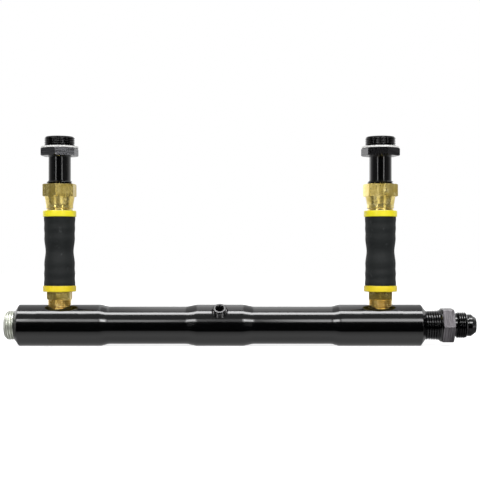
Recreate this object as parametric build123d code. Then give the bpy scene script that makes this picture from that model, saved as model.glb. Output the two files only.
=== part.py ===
from build123d import *
import os
from math import cos, radians, tan

# Dual-feed fuel rail for a four-barrel carburettor.
#
# A round bar lies along X and carries the fuel. Two legs stand on it, one for each float bowl:
# a brass fitting, a short rubber hose, a swivel nut and a threaded adapter. The origin lies
# midway between the two carburettor threads, in the plane where the sealing washers meet the
# carburettor. Lengths are in millimetres, angles in degrees.

# Rail bar: three lands, two necks, a gallery drilled from end to end
rail_length = 301.6
land_dia = 30.5
neck_dia = 27.6
centre_land_length = 34.6
centre_taper_length = 7.0
neck_length = 57.7
outer_taper_length = 5.5
end_chamfer_length = 3.2
end_chamfer_depth = 4.2
gallery_bore = 14.3

# Legs: distance between their axes
leg_spacing = 236.54

# Taper pipe threads, drawn as plain cones: crest diameter at the small end
pipe_taper = 1 / 16
half_pipe_dia = 20.72
three_eighths_pipe_dia = 17.06
eighth_pipe_dia = 9.99
pipe_lead_chamfer = 1.0
port_runout = 1.5
thread_clearance = 0.03

# Ports in the bar: how far the thread goes in, the drill below it, and the mouth round it
end_port_engagement = 9.0
end_port_drill = 18.2
end_port_drill_depth = 13.0
end_port_mouth_dia = 21.5
leg_port_engagement = 7.5
leg_port_drill = 14.6
leg_port_mouth_dia = 18.8
leg_port_mouth_depth = 3.2
gauge_port_engagement = 5.7
gauge_port_drill = 8.4
gauge_port_mouth_dia = 11.6
gauge_port_mouth_depth = 2.2
gauge_port_elevation = 45

# End plug
end_plug_length = 16.2
end_plug_chamfer = 2.2
end_plug_socket = 9.53
end_plug_socket_depth = 8.0
socket_mouth_margin = 0.5

# Gauge port plug
gauge_plug_length = 9.0
gauge_plug_chamfer = 0.75
gauge_plug_socket = 4.76
gauge_plug_socket_depth = 4.6

# Fuel passage through every fitting
flow_bore = 9.9

# Flare end of the adapters: thread, groove, nose and 37 degree cone
flare_half_angle = 37
flare_thread_dia = 19.05
inlet_flare_thread_length = 7.5
leg_flare_thread_length = 8.4
flare_neck_dia = 16.3
flare_groove_dia = 14.2
flare_groove_length = 1.1
flare_nose_dia = 16.1
flare_nose_length = 2.5
flare_tip_dia = 11.0
thread_chamfer = 0.8

# Inlet adapter
inlet_thread_length = 19.0
inlet_shoulder_length = 2.2
inlet_shoulder_dia = 24.4
inlet_hex = 23.8
inlet_hex_length = 8.5
inlet_neck_length = 2.2

# Brass hose fitting in the bar
fitting_exposed_thread = 3.95
fitting_hex = 17.0
fitting_hex_length = 5.6

# Barbed stem, the same on the fitting and on the nipple
stem_seat_dia = 13.4
barb_dia = 15.0
barb_count = 3
barb_pitch = 7.4
first_barb = 4.2
barb_flat = 0.5
barb_ramp = 5.0
grip_clearance = 0.05

# Hose
hose_length = 56.5
hose_bore = 12.7
hose_end_dia = 22.7
hose_inner_bulge_dia = 22.9
hose_outer_bulge_dia = 22.3
hose_valley_depth = 0.2
hose_waist_dia = 20.4
hose_relax_length = 2.0

# Collars over the cut ends of the hose
collar_dia = 24.4
collar_length = 4.4
collar_floor = 1.5
collar_edge = 0.7
collar_clearance = 0.05

# Swivel nipple
nipple_flange_dia = 19.0
nipple_flange_thickness = 1.3
nipple_neck_dia = 13.8
nipple_head_dia = 16.6
nipple_head_length = 3.9
nipple_seat_dia = 15.2
seat_clearance = 0.02

# Swivel nut
nut_gap = 0.35
nut_lip_length = 2.25
nut_lip_clearance = 0.1
nut_skirt_dia = 19.8
nut_skirt_length = 2.55
nut_cone_length = 6.3
nut_cone_top_dia = 22.0
nut_hex = 22.6
nut_hex_length = 9.1
nut_thread_runout = 0.8

# Carburettor adapter and sealing washer; a relief groove lies inside the washer
tube_length = 18.5
carb_hex = 25.0
carb_hex_length = 5.7
carb_hex_root = 0.7
carb_thread_dia = 22.22
carb_thread_length = 8.4
carb_thread_chamfer = 1.0
carb_relief_dia = 20.8
carb_relief_length = 1.5
carb_mouth_chamfer = 1.2
washer_dia = 27.4
washer_thickness = 1.3
washer_clearance = 0.2

# Turned chamfer on the corners of every hexagon: where it starts between flats and corners
hex_chamfer_angle = 30
hex_chamfer_start = 0.5

# Corner of each hexagon, turned from the front (-Y) towards +X, or downwards on the inlet adapter
inlet_hex_turn = 3
hex_turns = {
    "left": {"fitting": -3, "nut": -3, "adapter": -4},
    "right": {"fitting": -7, "nut": 13, "adapter": 15},
}

# Levels of a leg, measured up from the axis of the bar
land_radius = land_dia / 2
cone_slope = tan(radians(flare_half_angle))
fitting_end = land_radius - leg_port_engagement
fitting_hex_base = land_radius + fitting_exposed_thread
fitting_hex_top = fitting_hex_base + fitting_hex_length
hose_base = fitting_hex_top + collar_floor
hose_top = hose_base + hose_length
nipple_base = hose_top + collar_floor
nut_base = nipple_base + nipple_flange_thickness + nut_gap
shoulder_base = nut_base + nut_lip_length
head_base = shoulder_base + (nipple_head_dia - nipple_neck_dia) / 2
head_top = head_base + nipple_head_length
seat_base = head_top - (nipple_seat_dia - flow_bore) / 2 / cone_slope
flare_tip = seat_base + ((flare_tip_dia - flow_bore) / 2 + seat_clearance) / cone_slope
flare_cone_length = (flare_nose_dia - flare_tip_dia) / 2 / cone_slope
flare_thread_end = flare_tip + flare_cone_length + flare_nose_length + flare_groove_length
flare_thread_top = flare_thread_end + leg_flare_thread_length
carb_hex_base = flare_thread_top + tube_length
carb_hex_top = carb_hex_base + carb_hex_length
seat_level = carb_hex_top + washer_thickness

# Sizes that follow from the ones above
stem_root_radius = hose_bore / 2 - grip_clearance
barb_crests = [first_barb + number * barb_pitch for number in range(barb_count)]
stem_length = barb_crests[-1] + barb_ramp
collar_cover = collar_length - collar_floor


def turned(outline):
    """Solid of revolution about Z from a closed outline of (radius, height) points."""
    profile = Polyline([(radius, height) for radius, height in outline], close=True)
    return revolve(Plane.XZ * make_face(profile), Axis.Z)


def cone_frustum(low_radius, low, high_radius, high):
    """Solid cone frustum about Z between two heights."""
    return turned([(0, low), (low_radius, low), (high_radius, high), (0, high)])


def cylinder(diameter, low, high):
    """Solid cylinder about Z between two heights."""
    return cone_frustum(diameter / 2, low, diameter / 2, high)


def countersink(mouth_radius, top):
    """Tool that cuts a 90 degree countersink downwards from its mouth at height top."""
    return turned([(0, top - mouth_radius), (mouth_radius, top), (0, top)])


def hexagon(across_flats, low, high, turn):
    """Hexagonal prism with its corners turned off at 30 degrees on both end faces."""
    flat = across_flats / 2
    corner = flat / cos(radians(30))
    face = flat + (corner - flat) * hex_chamfer_start
    drop = (corner - face) * tan(radians(hex_chamfer_angle))
    sketch = RegularPolygon(flat, 6, major_radius=False, rotation=turn - 90)
    prism = Pos(0, 0, low) * extrude(sketch, high - low)
    rounded = turned([(0, low), (face, low), (corner, low + drop), (corner, high - drop),
                      (face, high), (0, high)])
    return prism & rounded


def pipe_radius(small_end_dia, distance):
    """Crest radius of a taper pipe thread at a distance from its small end."""
    return (small_end_dia + distance * pipe_taper) / 2


def pipe_outline(small_end_dia, length):
    """Outside of a male pipe thread from its small end at 0 to its large end at length."""
    tip = pipe_radius(small_end_dia, 0) - pipe_lead_chamfer / 2
    return [
        (tip, 0),
        (pipe_radius(small_end_dia, pipe_lead_chamfer), pipe_lead_chamfer),
        (pipe_radius(small_end_dia, length), length),
    ]


def pipe_plug(small_end_dia, length, chamfer, socket, socket_depth):
    """Taper pipe plug from its small end at 0, with a chamfered head and a hexagon socket."""
    outline = pipe_outline(small_end_dia, length - chamfer)
    rim = outline[-1][0] - chamfer
    plug = turned([(0, 0)] + outline + [(rim, length), (0, length)])
    return plug - hex_socket(socket, socket_depth, length)


def pipe_port(small_end_dia, engagement, drill_dia, drill_depth, mouth_dia, mouth_depth):
    """Tool that cuts a taper port downwards from height 0: drill, thread and mouth.

    The mouth is a straight recess round the thread, joined to it by a 45 degree cone.
    """
    wall = thread_clearance
    thread_low = pipe_radius(small_end_dia, -port_runout) + wall
    thread_high = pipe_radius(small_end_dia, engagement) + wall
    mouth = mouth_dia / 2
    drill = cylinder(drill_dia, -drill_depth, 0)
    thread = cone_frustum(thread_low, -engagement - port_runout, thread_high, 0)
    throat = cone_frustum(mouth / 2, -mouth_depth - mouth / 2, mouth, -mouth_depth)
    return drill + thread + throat + cylinder(mouth_dia, -mouth_depth, mouth)


def hex_socket(across_flats, depth, low):
    """Tool for a hexagon socket that opens upwards at height low, with a countersunk mouth."""
    mouth = across_flats / 2 / cos(radians(30)) + socket_mouth_margin
    key = Pos(0, 0, low - depth) * extrude(
        RegularPolygon(across_flats / 2, 6, major_radius=False), depth)
    return key + countersink(mouth, low)


def flare_outline(base, way, thread_length):
    """Outside of a flare end from the start of its thread to its tip.

    base is the height where the thread starts and way is 1 for up or -1 for down.
    """
    thread = flare_thread_dia / 2
    groove_start = thread_length
    nose_start = groove_start + flare_groove_length
    cone_start = nose_start + flare_nose_length
    steps = [
        (thread - thread_chamfer, 0),
        (thread, thread_chamfer),
        (thread, thread_length - thread_chamfer),
        (thread - thread_chamfer, thread_length),
        (flare_groove_dia / 2, groove_start),
        (flare_groove_dia / 2, nose_start),
        (flare_nose_dia / 2, nose_start),
        (flare_nose_dia / 2, cone_start),
        (flare_tip_dia / 2, cone_start + flare_cone_length),
    ]
    return [(radius, base + way * distance) for radius, distance in steps]


def stem_outline(base, way):
    """Outside of a barbed stem from the hose's cut end at base to the stem's tip.

    Each barb rises square from the stem and falls as a ramp towards the tip.
    """
    steps = [(stem_root_radius, 0)]
    for crest in barb_crests:
        steps += [
            (stem_root_radius, crest),
            (barb_dia / 2, crest),
            (barb_dia / 2, crest + barb_flat),
            (stem_root_radius, crest + barb_ramp),
        ]
    return [(radius, base + way * distance) for radius, distance in steps]


def hose_bore_outline(base, way):
    """Bore of the hose from its cut end to the tip of the stem, stretched over the barbs."""
    crest_radius = barb_dia / 2 + grip_clearance
    steps = [(hose_bore / 2, 0)]
    for crest in barb_crests:
        steps += [
            (hose_bore / 2, crest - hose_relax_length),
            (crest_radius, crest - grip_clearance),
            (crest_radius, crest + barb_flat),
            (hose_bore / 2, crest + barb_ramp),
        ]
    return [(radius, base + way * distance) for radius, distance in steps]


def hose_skin_points(base, way):
    """Points of the hose's outside from its collar to its last barb, swollen over each barb."""
    sag = (hose_inner_bulge_dia - hose_outer_bulge_dia) / 2 / (barb_count - 1)
    steps = [(hose_end_dia / 2, collar_cover)]
    for number, crest in enumerate(barb_crests):
        swell = hose_inner_bulge_dia / 2 - number * sag
        if number > 0:
            steps.append((swell + sag / 2 - hose_valley_depth, crest - barb_pitch / 2))
        steps.append((swell, crest))
    return [(radius, base + way * distance) for radius, distance in steps]


def make_rail_body():
    """Turned bar with its gallery, end ports, leg ports and gauge port, along X."""
    end = rail_length / 2
    neck_start = centre_land_length / 2 + centre_taper_length
    neck_end = neck_start + neck_length
    half = [
        (land_radius, centre_land_length / 2),
        (neck_dia / 2, neck_start),
        (neck_dia / 2, neck_end),
        (land_radius, neck_end + outer_taper_length),
        (land_radius, end - end_chamfer_length),
        (land_radius - end_chamfer_depth, end),
    ]
    other_half = [(radius, -height) for radius, height in reversed(half)]
    bar = turned([(0, -end)] + other_half + half + [(0, end)])
    end_port = pipe_port(half_pipe_dia, end_port_engagement, end_port_drill,
                         end_port_drill_depth, end_port_mouth_dia, 0)
    bar -= cylinder(gallery_bore, -end, end)
    bar -= Pos(0, 0, end) * end_port
    bar -= Pos(0, 0, -end) * Rot(X=180) * end_port
    bar = Rot(Y=90) * bar
    leg_port = Pos(0, 0, land_radius) * pipe_port(
        three_eighths_pipe_dia, leg_port_engagement, leg_port_drill, land_radius,
        leg_port_mouth_dia, leg_port_mouth_depth)
    for side in (-1, 1):
        bar -= Pos(side * leg_spacing / 2, 0, 0) * leg_port
    gauge_port = Pos(0, 0, land_radius) * pipe_port(
        eighth_pipe_dia, gauge_port_engagement, gauge_port_drill, land_radius,
        gauge_port_mouth_dia, gauge_port_mouth_depth)
    return bar - Rot(X=90 - gauge_port_elevation) * gauge_port


def make_end_plug():
    """Taper pipe plug with a socket head, screwed into the left end of the bar."""
    plug = pipe_plug(half_pipe_dia, end_plug_length, end_plug_chamfer, end_plug_socket,
                     end_plug_socket_depth)
    return Pos(-rail_length / 2 + end_port_engagement, 0, 0) * Rot(Y=-90) * plug


def make_inlet_adapter():
    """Adapter in the right end of the bar: taper thread, shoulder, hexagon and flare end."""
    hex_base = inlet_thread_length + inlet_shoulder_length
    hex_top = hex_base + inlet_hex_length
    flare_base = hex_top + inlet_neck_length
    neck = flare_neck_dia / 2
    thread = pipe_outline(half_pipe_dia, inlet_thread_length)
    flare = flare_outline(flare_base, 1, inlet_flare_thread_length)
    outline = thread + [(inlet_shoulder_dia / 2, hex_base), (neck, hex_base), (neck, flare_base)]
    adapter = turned([(0, 0)] + outline + flare + [(0, flare[-1][1])])
    adapter += hexagon(inlet_hex, hex_base, hex_top, inlet_hex_turn)
    adapter -= cylinder(flow_bore, 0, flare[-1][1])
    return Pos(rail_length / 2 - end_port_engagement, 0, 0) * Rot(Y=90) * adapter


def make_gauge_port_plug():
    """Small taper plug with a socket head, in the slanted gauge port of the centre land."""
    plug = pipe_plug(eighth_pipe_dia, gauge_plug_length, gauge_plug_chamfer, gauge_plug_socket,
                     gauge_plug_socket_depth)
    seat = Pos(0, 0, land_radius - gauge_port_engagement)
    return Rot(X=90 - gauge_port_elevation) * seat * plug


def make_rail_hose_fitting(turn):
    """Brass fitting: taper thread in the bar, hexagon, and a barbed stem up into the hose."""
    thread_length = fitting_hex_base - fitting_end
    thread = [(radius, fitting_end + distance) for radius, distance
              in pipe_outline(three_eighths_pipe_dia, thread_length)]
    stem = stem_outline(hose_base, 1)
    seat = [(stem_seat_dia / 2, fitting_hex_base), (stem_seat_dia / 2, hose_base)]
    top = stem[-1][1]
    fitting = turned([(0, fitting_end)] + thread + seat + stem + [(0, top)])
    fitting += hexagon(fitting_hex, fitting_hex_base, fitting_hex_top, turn)
    return fitting - cylinder(flow_bore, fitting_end, top)


def make_collar():
    """Plastic collar with its floor at 0: it covers the cut end of the hose."""
    floor_bore = stem_seat_dia / 2 + collar_clearance
    pocket = hose_end_dia / 2 + collar_clearance
    rim = collar_dia / 2
    return turned([
        (floor_bore, 0),
        (rim - collar_edge, 0),
        (rim, collar_edge),
        (rim, collar_length - collar_edge),
        (rim - collar_edge, collar_length),
        (pocket, collar_length),
        (pocket, collar_floor),
        (floor_bore, collar_floor),
    ])


def make_hose():
    """Rubber hose: bore stretched over both barbed stems, skin swollen there and waisted between."""
    bore = hose_bore_outline(hose_base, 1) + list(reversed(hose_bore_outline(hose_top, -1)))
    low_skin = hose_skin_points(hose_base, 1)
    high_skin = hose_skin_points(hose_top, -1)
    waist = (hose_waist_dia / 2, (hose_base + hose_top) / 2)
    along = (0, 1)
    skin = Spline(low_skin + [waist] + list(reversed(high_skin)), tangents=[along, along])
    ends = hose_end_dia / 2
    edge = Polyline([low_skin[0], (ends, hose_base)] + bore + [(ends, hose_top), high_skin[0]])
    return revolve(Plane.XZ * make_face(skin + edge), Axis.Z)


def make_swivel_nipple():
    """Brass nipple: barbed stem down into the hose, flange, neck and head with the flare seat."""
    neck = nipple_neck_dia / 2
    stem = list(reversed(stem_outline(hose_top, -1)))
    body = [
        (stem_seat_dia / 2, hose_top),
        (stem_seat_dia / 2, nipple_base),
        (nipple_flange_dia / 2, nipple_base),
        (nipple_flange_dia / 2, nipple_base + nipple_flange_thickness),
        (neck, nipple_base + nipple_flange_thickness),
        (neck, shoulder_base),
        (nipple_head_dia / 2, head_base),
        (nipple_head_dia / 2, head_top),
        (nipple_seat_dia / 2, head_top),
        (flow_bore / 2, seat_base),
    ]
    return turned([(flow_bore / 2, stem[0][1])] + stem + body)


def make_swivel_nut(turn):
    """Brass nut: rolled lip under the nipple's head, skirt, conical shoulder and hexagon."""
    hex_base = nut_base + nut_skirt_length + nut_cone_length
    top = hex_base + nut_hex_length
    neck = nipple_neck_dia / 2
    lip = neck + nut_lip_clearance
    head_bore = nipple_head_dia / 2 + nut_lip_clearance
    thread_bore = flare_thread_dia / 2 + thread_clearance
    step = flare_thread_end - nut_thread_runout
    outside = turned([
        (0, nut_base),
        (nut_skirt_dia / 2, nut_base),
        (nut_skirt_dia / 2, nut_base + nut_skirt_length),
        (nut_cone_top_dia / 2, hex_base),
        (0, hex_base),
    ])
    cavity = turned([
        (0, nut_base),
        (lip, nut_base),
        (lip, shoulder_base + nut_lip_clearance - seat_clearance),
        (head_bore, shoulder_base + head_bore - neck - seat_clearance),
        (head_bore, step),
        (thread_bore, step + thread_bore - head_bore),
        (thread_bore, top - thread_chamfer),
        (thread_bore + thread_chamfer, top),
        (0, top),
    ])
    return outside + hexagon(nut_hex, hex_base, top, turn) - cavity


def make_carb_adapter(turn):
    """Adapter: flare end in the swivel nut, round tube, hexagon and carburettor thread."""
    neck = flare_neck_dia / 2
    relief = carb_relief_dia / 2
    relief_top = carb_hex_top + carb_relief_length
    thread = carb_thread_dia / 2
    top = carb_hex_top + carb_thread_length
    flare = list(reversed(flare_outline(flare_thread_top, -1, leg_flare_thread_length)))
    body = [
        (neck, flare_thread_top),
        (neck, carb_hex_base - carb_hex_root),
        (neck + carb_hex_root, carb_hex_base),
        (relief, carb_hex_base),
        (relief, relief_top),
        (thread, relief_top + thread - relief),
        (thread, top - carb_thread_chamfer),
        (thread - carb_thread_chamfer, top),
        (0, top),
    ]
    adapter = turned([(0, flare_tip)] + flare + body)
    adapter += hexagon(carb_hex, carb_hex_base, carb_hex_top, turn)
    adapter -= cylinder(flow_bore, flare_tip, top)
    return adapter - countersink(flow_bore / 2 + carb_mouth_chamfer, top)


def make_sealing_washer():
    """Flat washer on the adapter's hexagon, round the carburettor thread."""
    bore = carb_thread_dia / 2 + washer_clearance
    return turned([(bore, carb_hex_top), (washer_dia / 2, carb_hex_top),
                   (washer_dia / 2, seat_level), (bore, seat_level)])


def make_leg(side):
    """All pieces of one leg, standing on the axis of the bar, by node name."""
    turns = hex_turns[side]
    collar = make_collar()
    pieces = {
        "rail_hose_fitting": make_rail_hose_fitting(turns["fitting"]),
        "lower_collar": Pos(0, 0, fitting_hex_top) * collar,
        "hose": make_hose(),
        "upper_collar": Pos(0, 0, nipple_base) * Rot(X=180) * collar,
        "swivel_nipple": make_swivel_nipple(),
        "swivel_nut": make_swivel_nut(turns["nut"]),
        "carb_adapter": make_carb_adapter(turns["adapter"]),
        "sealing_washer": make_sealing_washer(),
    }
    return {f"{name}_{side}": piece for name, piece in pieces.items()}


def make_all():
    """Every node of the rail in the frame of the carburettor threads."""
    nodes = {
        "rail_body": make_rail_body(),
        "end_plug": make_end_plug(),
        "inlet_adapter": make_inlet_adapter(),
        "gauge_port_plug": make_gauge_port_plug(),
    }
    for side, way in (("left", -1), ("right", 1)):
        foot = Pos(way * leg_spacing / 2, 0, 0)
        for name, piece in make_leg(side).items():
            nodes[name] = foot * piece
    down = Pos(0, 0, -seat_level)
    return {name: down * piece for name, piece in nodes.items()}


os.makedirs("parts", exist_ok=True)
for name, piece in make_all().items():
    export_step(piece, f"parts/{name}.step")
print(f"axis of the bar at z = {-seat_level:.3f}")
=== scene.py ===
import math

import bmesh
import bpy
import numpy as np
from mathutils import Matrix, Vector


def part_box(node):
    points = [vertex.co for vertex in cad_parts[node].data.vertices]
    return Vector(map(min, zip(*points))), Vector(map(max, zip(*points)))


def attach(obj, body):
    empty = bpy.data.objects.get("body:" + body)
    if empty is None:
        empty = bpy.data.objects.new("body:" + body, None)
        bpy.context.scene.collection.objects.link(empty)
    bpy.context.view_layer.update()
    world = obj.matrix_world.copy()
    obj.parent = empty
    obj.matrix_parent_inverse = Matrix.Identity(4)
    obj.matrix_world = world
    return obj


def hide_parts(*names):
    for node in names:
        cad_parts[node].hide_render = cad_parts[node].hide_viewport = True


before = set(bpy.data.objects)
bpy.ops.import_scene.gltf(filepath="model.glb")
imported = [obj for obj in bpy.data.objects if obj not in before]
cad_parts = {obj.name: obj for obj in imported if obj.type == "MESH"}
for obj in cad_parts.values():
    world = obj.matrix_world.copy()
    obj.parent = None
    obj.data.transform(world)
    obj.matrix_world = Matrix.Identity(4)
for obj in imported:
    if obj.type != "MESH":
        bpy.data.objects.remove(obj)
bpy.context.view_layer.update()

# Dual-feed fuel rail: looks for the turned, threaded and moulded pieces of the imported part.
# Shapes are worked out in millimetres in the frame of the part and turned into metres when
# the mesh is made.

MM = 0.001


def span(node, axis):
    """Lowest and highest place of a node along an axis (0, 1 or 2), in millimetres."""
    low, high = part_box(node)
    return low[axis] / MM, high[axis] / MM


# Bar
bar_end = span("rail_body", 0)[1]
bar_bottom, bar_top = span("rail_body", 2)
bar_axis = (bar_bottom + bar_top) / 2
land_radius = (bar_top - bar_bottom) / 2
neck_radius = 13.8
centre_land = 17.3
centre_taper = 7.0
neck_length = 57.7
outer_taper = 5.5
end_chamfer_length = 3.2
end_chamfer_depth = 4.2
gallery_radius = 7.15

# Ports in the bar: edge rounding, and for each kind the radius and depth of its mouth and of
# the thread's start, and the radius and height above the gallery of the thread's end and of
# the hole below it
port_edge = 0.15
leg_port = {"mouth": 9.4, "mouth_depth": 3.2, "start": 8.72, "start_depth": 3.9,
            "end": 8.56, "end_rise": 0.6, "hole": 6.9, "hole_rise": 0.4}
gauge_port = {"mouth": 5.8, "mouth_depth": 2.2, "start": 5.17, "start_depth": 2.83,
              "end": 4.98, "end_rise": 0.9, "hole": 4.2, "hole_rise": 0.9}
end_mouth_radius = 10.75
end_mouth_edge = 0.08
end_thread_radius = 10.35
end_thread_depth = 10.5
end_drill_radius = 9.1
end_drill_depth = 13.0

# Windows left for the ports in the bar's skin and in the gallery's wall: half length, cells
# along the bar and cells round it
leg_windows = ((16, 32, 40), (9, 12, 60))
gauge_windows = ((10, 26, 26), (6, 12, 40))

# Pipe threads: crest radius at the small end, growth of radius with length, pitches
pipe_growth = 1 / 32
half_pipe_radius = 10.36
three_eighths_pipe_radius = 8.53
eighth_pipe_radius = 4.995
half_pipe_pitch = 1.814
three_eighths_pipe_pitch = 1.411
eighth_pipe_pitch = 0.941
pipe_lead = (0.5, 1.0)

# Fuel passage and the barbed stems in the hose
flow_radius = 4.95
stem_seat_radius = 6.7
stem_root_radius = 6.3
barb_radius = 7.5
barb_crests = (4.2, 11.6, 19.0)
barb_flat = 0.5
barb_ramp = 5.0

# Hose: its outside goes through knots (height above the cut end, radius) and a waist
hose_bore_radius = 6.35
hose_end_radius = 11.35
hose_edge = 0.3
hose_knots = ((2.9, 11.35), (4.2, 11.45), (7.9, 11.175), (11.6, 11.3), (15.3, 11.025),
              (19.0, 11.15))
hose_waist = 10.2
hose_relax = 2.0
grip_clearance = 0.05

# Collars
collar_radius = 12.2
collar_floor = 1.5
collar_clearance = 0.05

# Brass fitting in the bar
fitting_hex = 17.0
fitting_hex_length = 5.6
fitting_thread_fade = 0.5

# Swivel nipple and nut
flange_radius = 9.5
flange_thickness = 1.3
nipple_neck = 6.9
nipple_head = 8.3
nipple_head_length = 3.9
nipple_seat = 7.6
nipple_bore_start = 5.0
nut_gap = 0.35
nut_lip_length = 2.25
nut_lip_start = 0.6
nut_clearance = 0.1
nut_skirt_radius = 9.9
nut_skirt_length = 2.55
nut_cone_length = 6.3
nut_cone_top = 11.0
nut_hex = 22.6
nut_thread_runout = 0.8
seat_clearance = 0.02
thread_clearance = 0.03
bore_lead = 0.8

# Flare end of the adapters
flare_thread_radius = 9.525
inlet_flare_thread = 7.5
leg_flare_thread = 8.4
flare_pitch = 1.5875
flare_neck_radius = 8.15
flare_groove_radius = 7.1
flare_groove_length = 1.1
flare_nose_radius = 8.05
flare_nose_length = 2.5
flare_tip_radius = 5.5
flare_slope = math.tan(math.radians(37))
flare_cone_length = (flare_nose_radius - flare_tip_radius) / flare_slope
flare_head_length = flare_cone_length + flare_nose_length + flare_groove_length
thread_cut = (0.8, 0.8)

# Carburettor adapter
carb_hex = 25.0
carb_hex_length = 5.7
carb_hex_root = 0.7
carb_thread_radius = 11.11
carb_thread_cut = (1.0, 1.0)
carb_pitch = 1.27
carb_relief_radius = 10.4
carb_relief_length = 1.5
carb_mouth = 1.2
carb_face = 1.0
washer_clearance = 0.2

# Inlet adapter
inlet_thread_length = 19.0
inlet_thread_fade = 1.2
inlet_shoulder_length = 2.2
inlet_shoulder_radius = 12.2
inlet_shoulder_edge = 0.4
inlet_shoulder_rim = 0.5
inlet_shoulder_step = 1.0
inlet_hex = 23.8
inlet_hex_length = 8.5
inlet_neck_length = 2.2

# Plugs: the chamfer of the head, and the hexagon socket's size across flats and depth
end_plug_cut = (2.2, 2.2)
end_plug_socket = (9.53, 8.0)
gauge_plug_length = 9.0
gauge_plug_engagement = 5.7
gauge_plug_cut = (0.95, 0.8)
gauge_plug_socket = (4.76, 4.6)
socket_margin = 0.5
socket_dimple = 0.2
gauge_slant = 45

# Corner of each hexagon, in degrees from the front (-Y) towards +X, or downwards on the inlet
inlet_turn = 3
hex_turns = {
    "left": {"hose_fitting": -3, "swivel_nut": -3, "carb_adapter": -4},
    "right": {"hose_fitting": -7, "swivel_nut": 13, "carb_adapter": 15},
}

# Reaches of the rounded corners
bar_roundings = (1.0, 1.0, 1.0, 1.0, 0.3)
flare_rounding = 0.2
shoulder_rounding = 0.3
neck_rounding = 0.4
stem_rounding = 0.15
collar_roundings = (0.2, 0.7, 0.7, 0.15, 0.1, 0.1)
nut_roundings = (0.2, 0.5, 0.8)
washer_rounding = 0.25

# Gap in a bore between a profile's first and last point, and margin of a bore's plain wall
seam = 0.1
bore_margin = 0.3

# Form of a thread: depth in pitches, and the wave's round crest and straight flank
thread_depth = 0.72
crest_end = 0.35
crest_drop = 0.061
flank_rise = 1.54

# Fineness of the meshes
around = 120
thread_samples = 18
hose_samples = 90
weld_distance = 1e-6
sharp_angle = math.radians(28)
hex_edge = 0.5
hex_face_margin = 0.2

# Reaches of the finishes: blur of a band's ends, painted shade between the thread's root and crest
# below the hexagon, and the heights in metres between which the yellow turns from a darker, warmer
# painted shade to clear
band_blur = 0.05
thread_root = three_eighths_pipe_radius - 0.5
thread_crest = three_eighths_pipe_radius + 0.1
root_shade_fade = 0.3
shade_reach = (-0.10, -0.08)

SIXTH = math.pi / 3
TWELFTH = math.pi / 6

even_angles = np.arange(around) * 2 * math.pi / around
cell_angle = even_angles[1]
# As many angles as around, closer together at the six corners
corner_steps = np.radians(np.concatenate([(-1.6, -1.0, -0.35, 0.35, 1.0, 1.6),
                                          np.linspace(5, 55, 14)]))
hex_angles = (np.arange(6)[:, None] * SIXTH + corner_steps).ravel()


# ---------------- profiles and rings

def soften(points, reach, steps=4):
    """Profile whose inner corners are rounded.

    Each corner C is replaced by the curve (1-s)^2 A + 2s(1-s) C + s^2 B, where A and B lie
    on the two sides at the distance reach from C, or at two fifths of the shorter side. One
    more point just outside each end of the curve keeps the flat sides flat in shading.
    """
    points = np.asarray(points, float)
    corner = points[1:-1]
    sides = np.stack([points[:-2] - corner, points[2:] - corner])
    lengths = np.linalg.norm(sides, axis=-1)
    near = np.minimum(reach, 0.4 * lengths.min(axis=0))
    back, ahead = (sides * (near / lengths)[..., None])[:, :, None]
    share = np.linspace(0, 1, steps + 1)
    weight = np.concatenate([[1.2], (1 - share) ** 2, [0]])[:, None]
    inner = corner[:, None] + weight * back + weight[::-1] * ahead
    return np.vstack([points[:1], inner.reshape(-1, 2), points[-1:]])


def plain(points):
    """Rings of equal radius at every angle, one for each (radius, height) of a profile."""
    points = np.asarray(points, float)
    shape = (len(points), around)
    return np.broadcast_to(points[:, :1], shape), np.broadcast_to(points[:, 1:], shape)


def stack(*rings):
    """Rings of several stretches of a piece, one after the other."""
    radii, heights = zip(*rings)
    return np.concatenate(radii), np.concatenate(heights)


def reverse(rings):
    """The same rings in the opposite order."""
    return rings[0][::-1], rings[1][::-1]


def screw(low, high, low_radius, high_radius, pitch, low_cut, high_cut, fade=0):
    """Rings of a right-hand screw thread between two heights.

    At height h and angle a the radius is the crest line less thread_depth pitches times a
    wave of h / pitch - a / 360. With t from 0 at the crest to 1 at the root the wave is
    t^2 / 2 up to crest_end, so that the crest is rounded, and then rises straight to 1 in the
    narrow root. It fades out over the last length, fade, and a cone (depth, length) cuts each
    end.
    """
    count = int(math.ceil((high - low) / pitch * thread_samples)) + 1
    height = np.linspace(low, high, count)[:, None]
    phase = (height / pitch - hex_angles / (2 * math.pi)) % 1
    off_crest = np.abs(2 * phase - 1)
    flank = np.clip(crest_drop + flank_rise * (off_crest - crest_end), 0, 1)
    wave = np.where(off_crest < crest_end, off_crest ** 2 / 2, flank)
    crest = low_radius + (high_radius - low_radius) * (height - low) / (high - low)
    ends = ((height - low, low_radius, low_cut), (high - height, high_radius, high_cut))
    shade = np.clip((high - height) / fade, 0, 1) if fade else 1
    radius = crest - thread_depth * pitch * wave * shade
    for inward, end_radius, (depth, length) in ends:
        if length:
            radius = np.minimum(radius, end_radius - depth + depth * inward / length)
    return radius, np.broadcast_to(height, radius.shape)


def pipe_screw(low, high, radius, pitch, high_cut=(0, 0), fade=0):
    """Rings of a taper pipe thread."""
    high_radius = radius + (high - low) * pipe_growth
    return screw(low, high, radius, high_radius, pitch, pipe_lead, high_cut, fade)


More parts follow.
